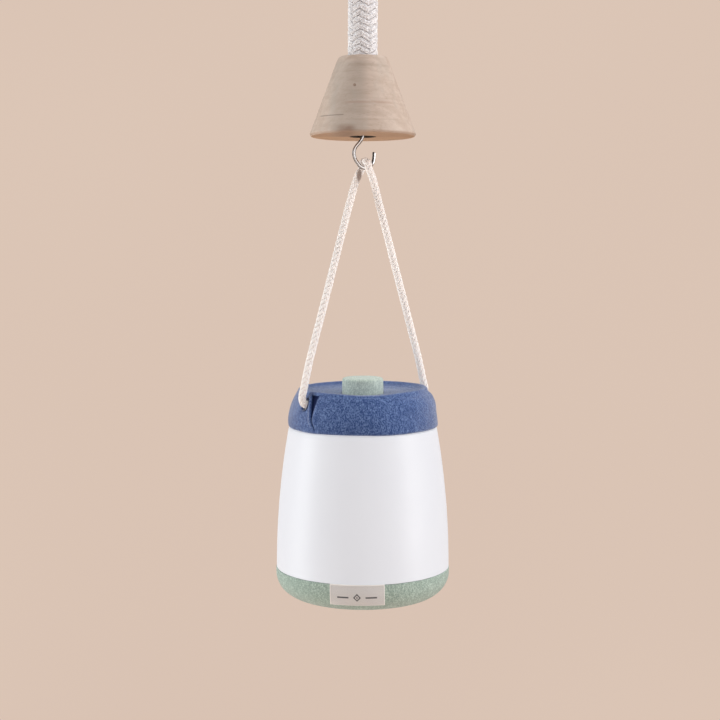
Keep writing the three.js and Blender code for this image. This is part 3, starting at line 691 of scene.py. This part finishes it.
def braided(name, path, spec, per_column, yarns):
    """A braid along a path, with yarns that ripple each strand's surface.

    Columns of strands lean left and right in turn, half a strand apart, and each strand dives under the next
    column at its ends.
    """
    columns = spec.columns
    sides = columns * per_column
    along = lengths_along(path)[:, None]
    place = np.arange(sides)[None, :] / per_column
    column = np.floor(place).astype(int)
    across = place - column
    lean = np.where(column % 2 == 0, 1.0, -1.0)
    phase = along / spec.pitch + lean * (across - 0.5) * spec.slant + 0.5 * (column % 2)
    stray = np.sin(along / 23.0 + column * 2.4) + 0.6 * np.sin(along / 3.1 + column * 1.7)
    phase = phase + spec.stray * stray
    strand = phase - np.floor(phase)
    hump = np.clip(1 - np.abs(2 * strand - 1) ** 2.6, 0, 1) ** 0.6
    dive = 1 - spec.dive * np.abs(2 * across - 1) ** 3.2
    number = np.floor(phase)
    uneven = 1 - 0.13 * np.sin(number * 12.9898 + column * 78.233)
    height = hump * dive * uneven
    ripple = spec.yarn * (0.5 + 0.5 * np.cos(2 * np.pi * (yarns * strand + 0.4 * across))) * hump
    lint = np.random.default_rng(5).normal(size=height.shape)
    lint = lint + np.roll(lint, 1, axis=0) + np.roll(lint, (1, 1), axis=(0, 1)) + np.roll(lint, 1, axis=1)
    depth = (1 - height + ripple + 0.055 * lint).clip(0, 1.2)
    radius = spec.radius + spec.puff - spec.relief * depth
    rings = swept(path, radius, sides, math.radians(spec.turn))
    # The groove value marks the low places between strands, where shade is painted.
    piece = skin(name, rings, values={"groove": ease((0.50 - height + 0.5 * ripple) / 0.5)})
    set_strand_uvs(piece, along[:, 0], columns, per_column, spec, lean[0])
    return piece


def set_strand_uvs(piece, along, columns, per_column, spec, lean):
    """Texture corners that run across and along each strand, so that fibres follow it."""
    width = 2 * np.pi * spec.radius / columns
    angle = math.atan2(spec.slant * spec.pitch, width)
    sides = columns * per_column
    quads = (len(along) - 1) * sides
    vertices = np.empty(len(piece.data.loops), np.int32)
    piece.data.loops.foreach_get("vertex_index", vertices)
    row, place = np.divmod(vertices[:4 * quads].reshape(quads, 4), sides)
    start = (np.arange(quads) % sides)[:, None]
    place = np.where((place == 0) & (start == sides - 1), sides, place)
    x = (place / per_column - start // per_column) * width * lean[start]
    y = along[row]
    uvs = np.zeros((len(vertices), 2), np.float32)
    uvs[:4 * quads, 0] = (y * math.cos(angle) - x * math.sin(angle)).ravel()
    uvs[:4 * quads, 1] = (x * math.cos(angle) + y * math.sin(angle)).ravel()
    piece.data.uv_layers["UVMap"].data.foreach_set("uv", (uvs * MM).ravel())


def thick_rope():
    path = evenly(np.array([[0, 0, ROPE_TOP], [0, 0, ROPE_BOTTOM]]), 0.28)
    rope = braided("thick_rope_braid", path, ROPE, per_column=14, yarns=3)
    return finish_piece(rope, "rope_cotton", "rope", "thick_rope"), path


def towards_hole(distance, z, side):
    """A place in the direction of one cord hole, with z down from the cone's top face. side is 1 or -1."""
    azimuth = math.radians(HOLE.azimuth[side])
    return (distance * math.cos(azimuth), distance * math.sin(azimuth), z)


def cord_half(side):
    """Half of the cord's route, from its hole up to where it goes over the hook's wire."""
    low = HOOK.bowl_z - HOOK.bowl_radius
    reach = LOOP.reach
    leg_foot = np.array(towards_hole(42.6, HOLE.z + 25, side))
    leg_top = np.array([1 + side * 9.1, side * 1.6, -91.6])
    up_to_leg = [(43.6, 0), (45, 0.1), (46.5, 1), (47.4, 3), (47.4, 6), (46.2, 10.5)]
    over_wire = []
    for angle in np.radians([0, 30, 60]):
        across = HOOK.bowl_x + side * LOOP.spread * math.cos(angle)
        over_wire.append((across, -side * reach * math.cos(angle), low + reach * math.sin(angle)))
    return [
        *[towards_hole(distance, HOLE.z + rise, side) for distance, rise in up_to_leg],
        *[tuple(leg_foot + (leg_top - leg_foot) * share) for share in (0, 0.25, 0.5, 0.75, 1)],
        (1.3 + side * 4.9, -side * 2.6, -76.6),
        *over_wire,
    ]


def add_painted_shadow(piece, centre, size):
    """A painted shadow: an attribute that fades out from a centre, with a size along each axis."""
    count = len(piece.data.vertices)
    points = np.empty(3 * count)
    piece.data.vertices.foreach_get("co", points)
    away = np.linalg.norm((points.reshape(-1, 3) / MM - centre) / size, axis=1)
    attribute = piece.data.attributes.new("painted_shadow", "FLOAT", "POINT")
    attribute.data.foreach_set("value", ease((1.0 - away) / 0.6).astype(np.float32))


def thin_cord():
    top = HOOK.bowl_z - HOOK.bowl_radius + LOOP.reach
    points = [*cord_half(-1), (HOOK.bowl_x, 0, top), *cord_half(1)[::-1]]
    path = curve_through(np.array(points) + [0, 0, CONE_TOP], 0.3)
    cord = braided("thin_cord_braid", path, CORD, per_column=9, yarns=2)
    # Painted shadow where the cord passes behind the hook.
    add_painted_shadow(cord, HOOK_SHADOW.centre, HOOK_SHADOW.size)
    return finish_piece(cord, "cord_cotton", "hanging_cord", "thin_cord"), path


# ---------------- ceiling mount and top fittings


def drill(radius, bottom, top, x=0.0, wide_end=None):
    """A round cutting tool, or a countersink where wide_end is given as the bottom radius."""
    tool = turned("tool", np.array([(wide_end or radius, bottom), (radius, top)]), 32)
    tool.location = (x * MM, 0, 0)
    return tool


def pin_hole(pin, radius, near, far):
    """A drill lying front to back at a CAD pin's height, between two distances in front of the axis."""
    low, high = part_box(pin)
    tool = drill(radius, -far, -near)
    tool.rotation_euler = (math.radians(-90), 0, 0)
    tool.location = ((low.x + high.x) / 2, 0, (low.z + high.z) / 2)
    return tool


def ceiling_rose():
    corners = [(0, 0, 0), (35, 0, 0.8), (35, -9, 0), (34.2, -11.2, 1.5), (32, -12, 1.5), (0, -12, 0)]
    outline = stepped(rounded(corners), 2.5, False)
    rose = turned("ceiling_rose_turned", outline[1:-1], 128)
    tools = [drill(LINK.shank + 0.3, -13, -3)]
    for x in (-25, 25):
        tools.append(drill(2.2, -13, 1, x))
        tools.append(drill(2.2, -12.2, -9.7, x, wide_end=4.5))
    return finish_piece(cut_away(rose, *tools), "wood", "ceiling_mount", "ceiling_rose")


def loop_of_wire(radius, centre_z, plane):
    """A closed ring of wire in the XZ or YZ plane."""
    angle = full_turn(64)
    around = full_turn(18)[None, :, None]
    outward = np.zeros((64, 1, 3))
    outward[:, 0, 0 if plane == "XZ" else 1] = np.cos(angle)
    outward[:, 0, 2] = np.sin(angle)
    normal = np.array([0, 1, 0] if plane == "XZ" else [1, 0, 0], float)
    section = outward * np.cos(around) + normal * np.sin(around)
    return radius * outward + LINK.wire * section + np.array([0, 0, centre_z])


def eye_of_wire(name, centre_z, shank_end):
    ring = skin(name, loop_of_wire(LINK.eye, centre_z, "XZ"), closed_rows=True)
    start = centre_z + math.copysign(LINK.eye, shank_end - centre_z)
    path = evenly(np.array([[0, 0, start], [0, 0, shank_end]]), 0.15)
    thread = LINK.shank - LINK.thread * (0.5 + 0.5 * np.cos(2 * np.pi * path[:, 2] / LINK.pitch))
    thread[np.abs(path[:, 2] - start) < LINK.plain] = LINK.shank
    return merged(ring, skin("shank", swept(path, thread)))


def top_fittings():
    ring = skin("rope_ring_wire", loop_of_wire(LINK.ring, LINK.ring_z, "YZ"), closed_rows=True)
    finish_piece(ring, "steel", "rope_ring", "rope_ring")
    upper = eye_of_wire("ceiling_eye_wire", LINK.eye_z, -4.0)
    finish_piece(upper, "steel", "ceiling_mount", "ceiling_eye")
    lower = eye_of_wire("screw_eye_wire", LINK.screw_eye_z, CAP_BOX_TOP - 5.4)
    return finish_piece(lower, "steel", "rope", "screw_eye")


def rope_cap():
    top, bottom = CAP_BOX_TOP, CAP_BOX_BOTTOM
    outline = rounded([
        (1.6, top, 0.3), (9.5, top, 2.5), (13, top - 4, 3), (13, bottom + 4, 0), (13, bottom + 3.4, 0),
        (12.7, bottom + 3.1, 0), (13, bottom + 2.8, 0), (13, bottom, 0.8), (9.8, bottom, 0.6),
        (9.8, bottom + 15, 0.3), (1.6, bottom + 15, 0.3),
    ])
    cap = turned("rope_cap_turned", stepped(outline, 2.0, True), 96, closed=True)
    cut_away(cap, pin_hole("rope_cap_pin", radius=1.3, near=4, far=14.5))
    return finish_piece(cap, "wood", "rope", "rope_cap")


# ---------------- cone and hook


def warp_cone(theta, r, z):
    """Leaves the foot a degree out of square, higher in front, and paints shade on the wall of the mouth."""
    low = ease((CONE_TOP - 20 - z) / 30)
    inside = ease((CONE.mouth + 0.6 - r) / 0.5) * (z < CONE_TOP - CONE.bore_depth)
    radius = r + 0 * theta
    return radius, z - math.radians(1.0) * radius * np.sin(theta) * low, inside + 0 * theta


def rope_cone():
    c, base = CONE, -CONE.height
    outline = rounded([
        (c.bore, -c.bore_depth, 0.3), (c.bore, 0, 0.9), (c.top - 0.7, 0, 1.3),
        (c.top + 0.55, -1.6, 1.6), (c.base + 0.6, base + 1.5, 0.7), (c.base - 0.4, base, 0.6),
        (c.mouth, base, 0.5), (c.mouth, base + c.mouth_depth, 0.3),
        (0.01, base + c.mouth_depth, 0), (0.01, -c.bore_depth, 0),
    ])
    outline = stepped(outline, 1.6, True) + [0, CONE_TOP]
    cone = turned("rope_cone_turned", outline, 160, closed=True, warp=warp_cone)
    cut_away(cone, pin_hole("cone_pin", radius=0.93, near=5, far=26))
    return finish_piece(cone, "cone_wood", "rope", "rope_cone")


def band(angle, middle, half):
    """1 within a band of angles and 0 outside it, with soft edges. Angles are in degrees."""
    return ease((half - np.abs(angle - middle)) / (0.45 * half))


def cord_hook():
    """The wire hook. Along its front run two bands of painted dark reflection with a polished one between
    them.
    """
    shank = [(0, HOOK.mouth_top - 0.8), (0, -42), (0, -48)]
    bend = [(-0.6, -51.8), (-2.2, -54.3), (-4.1, -56.5), (-5.4, -58.9), (-5.7, -61.6), (-4.8, -64.9)]
    bowl = arc((HOOK.bowl_x, HOOK.bowl_z), HOOK.bowl_radius, 205, 335, 6)
    points = [(x, 0, z + CONE_TOP) for x, z in [*shank, *bend, *bowl, (7.1, -64.2), (7.3, -60.3)]]
    path = curve_through(points, 0.4)
    radius = np.full(len(path), HOOK.wire)
    radius[[0, -1]] -= 0.25
    sides = 48
    angle = np.linspace(0, 360, sides, endpoint=False)[None, :]
    tip = ease((np.linspace(0, 1, len(path))[:, None] - 0.80) / 0.1)
    left, right, at_tip = (band(angle, *streak) for streak in DARK_REFLECTION_BANDS)
    # Painted dark reflection bands along the wire.
    painted_dark_reflection = (1 - tip) * left + right + tip * at_tip
    hook = skin("cord_hook_wire", swept(path, radius, sides), values={"groove": painted_dark_reflection.clip(0, 1)})
    top = HOOK.mouth_top + CONE_TOP
    side = [(0.01, 0.5, 0), (1.6, 0.5, 0.9), (2.6, 1.4, 0.6), (2.5, 1.9, 0.2), (0.01, 1.9, 0)]
    head = rounded([(x, top - drop, size) for x, drop, size in side])
    hook = merged(hook, turned("head", head, 32))
    return finish_piece(hook, "hook_steel", "hook", "cord_hook")


# ---------------- felt cap and button


def flare(top_radius, bottom_radius, top, bottom, steps):
    """A wall that flares quickly at the top and runs nearly straight at the bottom."""
    t = np.linspace(0, 1, steps + 1)
    radius = bottom_radius - (bottom_radius - top_radius) * (1 - t) ** 2
    return [(r, z, 0) for r, z in zip(radius, top + (bottom - top) * t)]


def outward_normals(outline):
    """Unit normals of a closed outline, pointing out of it."""
    step = np.roll(outline, -1, axis=0) - np.roll(outline, 1, axis=0)
    normal = np.stack([-step[:, 1], step[:, 0]], axis=1)
    normal /= np.linalg.norm(normal, axis=1)[:, None] + 1e-9
    x, z = outline[:, 0], outline[:, 1]
    area = 0.5 * np.sum(x * np.roll(z, -1) - np.roll(x, -1) * z)
    return normal if area < 0 else -normal


def cap_angles():
    """Azimuths round the cap, closer together near the crease and the two cord holes."""
    middles = [*HOLE.azimuth.values(), CAP.crease_azimuth]
    fine = [np.arange(middle - 9, middle + 9, 0.22) for middle in middles]
    degrees = np.unique(np.round(np.r_[np.arange(0, 360, 1.0), *fine], 2))
    keep = [degrees[0]]
    for d in degrees[1:]:
        if d - keep[-1] > 0.2:
            keep.append(d)
    return np.radians(np.array(keep))


def felt_swell(theta, z, size):
    """Slow unevenness of a felt skin drawn over its form."""
    waves = np.sin(3 * theta + 0.7) + 0.7 * np.sin(7 * theta + z / 9.0)
    waves = waves + 0.5 * np.sin(13 * theta - z / 5.0 + 2) + 0.35 * np.sin(29 * theta + z / 3.1)
    return size * waves / 2.5


def angle_from(start, theta):
    """The angle from start to theta, between half a turn back and half a turn on."""
    return np.angle(np.exp(1j * (theta - start)))


def warp_cap(theta, r, z):
    """Presses the gathered crease into the cap's outer wall, makes the skin a little uneven, and paints shade
    into the crease and round the cord holes.
    """
    normal_r, normal_z = np.hsplit(outward_normals(np.hstack([r, z])), 2)
    z = z - RIM
    outer = ease((normal_r + 0.1) / 0.5) * (z > -CAP.height - 0.1)
    below = np.clip(-z - 1.0, 0, None)

    azimuth = 1.5 * np.pi - np.arcsin(np.clip(-CAP.crease_x / r, -1, 1))
    x = r * angle_from(azimuth, theta) - 2.5 * ease((below - 15) / 7)
    reach = np.clip(1 - below / 15, 0, 1)
    width = 0.7 + 6.0 * reach**1.4
    share = x / width
    edge = ease(x / 0.4 + 0.5)
    groove = edge * np.clip(1 - share, 0, 1) ** 0.9
    depth = (0.7 + 0.7 * reach) * ease(below / 0.7) * ease((22.5 - below) / 4)
    lips = 0.9 * np.exp(-((x + 1.3) / 1.4) ** 2) + 0.6 * np.exp(-((x - width - 1.7) / 2.2) ** 2)
    lips = lips * ease(below / 3) * ease((23 - below) / 8)
    # Painted shade: a dark colour laid into the crease, standing in for its shadow.
    dark = edge * ease((1.3 - share) * (1.2 + 1.6 * reach))
    dark = dark * ease(below / 0.4) * ease((22 - below) / 2)
    # Painted shade round each cord hole.
    for hole in HOLE.azimuth.values():
        away = np.hypot(r * angle_from(math.radians(hole), theta) - 1.2, (z + RIM - CONE_TOP - HOLE.z) * 0.8)
        dark = np.maximum(dark, ease(3.9 - away))

    right_shoulder = 1.2 * ease(np.cos(theta) * 2 - 0.6)
    right_shoulder = right_shoulder * ease(below / 4) * ease((15 - below) / 8)
    push = outer * (lips - depth * groove + right_shoulder + felt_swell(theta, z, 0.22))
    push = push + 0.25 * np.sin(5 * theta + 1) * ease((below - 18) / 5) * outer
    lip = ease((z + 2) / 2) * (r > CAP.rim - 6)
    raised = 0.3 * (1 + np.cos(theta))
    dip = 1.5 * np.exp(-(((r * np.cos(theta) - 4) / 18) ** 2)) * ease(-np.sin(theta) * 2 - 0.6)
    return r + normal_r * push, z + RIM + normal_z * push + lip * (raised - dip), np.clip(dark * outer, 0, 1)


def slot_tool(side):
    """A rounded slot out through the cap's wall, where a cord leg enters it."""
    width, reach = HOLE.width, (HOLE.height - HOLE.width) / 2
    angles = np.radians(np.arange(0, 180, 10))
    top = [(width / 2 * math.cos(a), reach + width / 2 * math.sin(a)) for a in angles]
    outline = top + [(-x, -y) for x, y in top]
    out = np.array(towards_hole(1.0, 0.0, side))
    across = np.array([-out[1], out[0], 0])
    rings = [
        [out * distance + across * a + np.array([0, 0, CONE_TOP + HOLE.z + b]) for a, b in outline]
        for distance in (40.0, 56.0)
    ]
    return skin("slot", np.array(rings))


def cap_cover():
    c, felt = CAP, CAP.felt
    corners = [
        (c.hole, -c.dish - 0.9, 0.5), (c.rim - 12.5, -c.dish - 0.8, 4.0), (c.rim - 4.4, -0.8, 2.0),
        (c.rim - 2.6, 0.85, 0.9), (c.rim - 1.3, 0.95, 0.8), (c.rim - 0.3, 0.1, 0.7),
        *flare(c.rim, c.edge, -c.shoulder, -c.skirt, 18),
        (c.edge - 0.1, -c.height + 0.9, 0.8), (c.edge - 0.9, -c.height, 0.6),
        (c.edge - felt - 0.3, -c.height, 0.3),
        *flare(c.rim - felt, c.edge - felt, -c.shoulder - felt - 0.3, -c.skirt, 10)[::-1],
        (c.rim - 4, -c.dish - felt, 0.5), (c.hole, -c.dish - felt, 0.5),
    ]
    outline = stepped(rounded(corners), 0.6, True) + [0, RIM]
    cover = turned("cap_cover_felt", outline, cap_angles(), closed=True, warp=warp_cap)
    cut_away(cover, slot_tool(1), slot_tool(-1))
    return finish_piece(cover, "blue_felt", "lantern", "cap_cover")


def warp_button(theta, r, z):
    z = z - RIM
    push = 0.6 * felt_swell(2 * theta, 4 * z, 0.10) * ease(r / 8)
    return r + push, z + RIM + push * (z > BUTTON.rise - 1), 0 * push


def button_cover():
    b = BUTTON
    inside = b.radius - b.felt
    outline = rounded([
        (0.01, b.rise - 0.15, 0), (7, b.rise - 0.1, 3), (b.radius - 1.2, b.rise - 0.2, 1.6),
        (b.radius - 0.1, b.rise - 1.3, 1.4), (b.radius, -b.sink, 0.4), (inside, -b.sink, 0.4),
        (inside, b.rise - b.felt, 0.4), (0.01, b.rise - b.felt, 0),
    ])
    outline = stepped(outline, 0.5, False) + [0, RIM]
    button = turned("button_cover_felt", outline, 144, warp=warp_button)
    # The button wears the green felt painted lighter, standing in for light.
    return finish_piece(button, "button_felt", "button", "button_cover")


# ---------------- shade, base and label


def diffuser():
    s = SHADE
    neck_inside = s.neck - 1.6
    corners = [
        (s.neck, -s.neck_top, 0.4), (s.neck, -s.start, 0.4), (s.top - 0.6, -s.start, 0.4),
        *flare(s.top, s.bottom, -s.start - 0.8, -s.end, 30),
        *flare(s.top - s.wall, s.bottom - s.wall, -s.start - s.wall, -s.end, 16)[::-1],
        (neck_inside, -s.start - s.wall, 0.5), (neck_inside, -s.neck_top, 0.4),
    ]
    outline = stepped(rounded(corners), 4.0, True) + [0, RIM]
    shade = turned("diffuser_moulded", outline, 192, closed=True)
    return finish_piece(shade, "shade_plastic", "shade", "diffuser")


def base_outline(inset, steps):
    """The outside of the base, set in by an amount: a short straight side and a large round edge."""
    b = BASE
    centre = (b.radius - b.edge_width, -b.bottom + b.edge_height)
    edge = arc(centre, b.edge_width - inset, 0, -90, steps, b.edge_height - inset)
    return [(b.radius - inset, -b.top, 0.45), *[(x, z, 0) for x, z in edge]]


def warp_base(theta, r, z):
    z = z - RIM
    push = felt_swell(theta + 1.3, z, 0.16) * ease((r - 20) / 20)
    edge = ease((z + BASE.top + 1.5) / 1.5)
    return r + push, z + RIM + 0.12 * edge * np.sin(17 * theta), 0 * push


def base_cover():
    bottom, felt = -BASE.bottom, BASE.felt
    middle = [(0.01, bottom, 0), (0.01, bottom + felt, 0)]
    corners = [*base_outline(0, 20), *middle, *base_outline(felt, 8)[::-1]]
    outline = stepped(rounded(corners), 1.6, True) + [0, RIM]
    cover = turned("base_cover_felt", outline, 200, closed=True, warp=warp_base)
    return finish_piece(cover, "green_felt", "shade", "base_cover")


def motif_ink(x, y):
    """A plain ornament for the tag: a small diamond ring with a dot, and a bar on each side of it."""
    diamond = np.abs(x) / 2.6 + np.abs(y) / 2.9
    ring = ease((1.0 - diamond) / 0.10) * ease((diamond - 0.52) / 0.10)
    dot = ease((0.30 - diamond) / 0.10)
    side = np.abs(x)
    bar = ease((side - 5.2) / 0.2) * ease((12.6 - side) / 0.2)
    bar = bar * ease((0.55 - np.abs(y)) / 0.15)
    return np.clip(ring + dot + bar, 0, 1)


def fabric_label():
    """A woven tag that follows the base's side. Its front and back are two grids joined round the edge."""
    width, tall = LABEL.width, LABEL.height
    columns, rows = 147, 57
    x = np.linspace(-width / 2, width / 2, columns)[None, :]
    down = np.linspace(0, tall, rows)[:, None]
    sag = 0.16 * np.sin(x / 4.3 + 1.1) * np.sin(down / 4.4) + 0.25 * (down / tall) ** 4
    hem = 0.10 * ((down < 0.9) | (np.abs(x) > width / 2 - 0.8))
    along = down - LABEL.over
    layers = []
    for lift, proud in ((0.95, sag + hem), (0.35, sag)):
        side = np.array(base_outline(-lift, 40))[:, :2]
        run = lengths_along(side)
        radius = np.interp(along, run, side[:, 0]) + proud
        z = np.interp(along, run, side[:, 1]) - np.minimum(along, 0)
        theta = LABEL.azimuth + x / radius
        layers.append(np.stack([radius * np.cos(theta), radius * np.sin(theta), z + 0 * x + RIM], axis=-1))
    points = np.array(layers).reshape(-1, 3)
    count = rows * columns
    grid = np.arange(count).reshape(rows, columns)
    faces = []
    for a in grid[:-1, :-1].ravel().tolist():
        quad = (a, a + 1, a + columns + 1, a + columns)
        faces += [quad, tuple(count + k for k in quad[::-1])]
    rim = np.r_[grid[0], grid[1:, -1], grid[-1, -2::-1], grid[-2:0:-1, 0]].tolist()
    faces += [(a, c, c + count, a + count) for a, c in zip(rim, rim[1:] + rim[:1])]
    flat_x, flat_y = (x + 0 * down).ravel(), (down + 0 * x).ravel()
    uvs = [(flat_x[v % count], flat_y[v % count]) for face in faces for v in face]
    to_edge = np.minimum(np.minimum(width / 2 - np.abs(flat_x), flat_y), tall - flat_y + 0.35)
    edge = ease((0.75 - to_edge) / 0.3)
    ink = motif_ink(flat_x, flat_y - tall * 0.56)
    values = {"edge": np.r_[edge, edge], "ink": np.r_[ink, 0 * ink]}
    label = make_piece("fabric_label_woven", points, faces, uvs, values)
    finish_piece(label, "label_cloth", "shade", "fabric_label")
    return label


def button_spring():
    """The coil spring under the button, which shortens as the button goes down."""
    low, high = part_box("button_spring")
    wire = SPRING.wire
    coil = (high.x - low.x) / 2 / MM - wire
    angle = np.linspace(0, 2 * np.pi * SPRING.turns, 60 * SPRING.turns)
    height = np.linspace(low.z / MM + wire, high.z / MM - wire, len(angle))
    path = np.stack([coil * np.cos(angle), coil * np.sin(angle), height], axis=-1)
    spring = skin("button_spring_wire", swept(path, wire, 12))
    finish_piece(spring, "steel", "lantern", "button_spring")
    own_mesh(spring)
    return spring


# ---------------- CAD pieces that stay, and the stage

CAD_LOOKS = {
    "rope_cap_pin": "brass", "cone_pin": "iron", "swivel_plug": "brass", "swivel_washer": "brass",
    "cord_knot": "cord_cotton", "cap_housing": "white_plastic", "light_tray": "white_plastic",
    "led_board": "board", "switch_body": "black_plastic", "tray_screw": "steel", "board_screw": "steel",
    "led_": "led", "battery_cell": "cell", "contact_": "steel", "wire_red": "red_wire",
    "wire_black": "black_plastic", "button_core": "white_plastic", "switch_plunger": "black_plastic",
    "base_shell": "white_plastic",
}


def dress_cad_nodes():
    for name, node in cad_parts.items():
        if node.hide_render:
            continue
        look = next(value for key, value in CAD_LOOKS.items() if name.startswith(key))
        node.data.materials.clear()
        node.data.materials.append(LOOKS[look])
        bevel = node.modifiers.new("edges", "BEVEL")
        bevel.width = 0.12 * MM
        bevel.segments = 2
        bevel.limit_method = "ANGLE"
        bevel.angle_limit = math.radians(50)


def add_floor():
    angle = full_turn(96)
    rings = [np.stack([r * np.cos(angle), r * np.sin(angle), np.full(96, z)], axis=-1)
             for r, z in ((2600, -1510), (2600, -1500), (400, -1500))]
    floor = skin("floor", np.array(rings))
    floor.data.materials.append(LOOKS["floor"])


def main():
    add_camera()
    rope, rope_path = thick_rope()
    cord, cord_path = thin_cord()
    lower_eye = top_fittings()
    cap = rope_cap()
    ceiling_rose()
    rope_cone()
    cord_hook()
    cap_cover()
    button_cover()
    button_spring()
    diffuser()
    base_cover()
    fabric_label()
    dress_cad_nodes()
    add_floor()
    add_lights()
    add_world()


main()
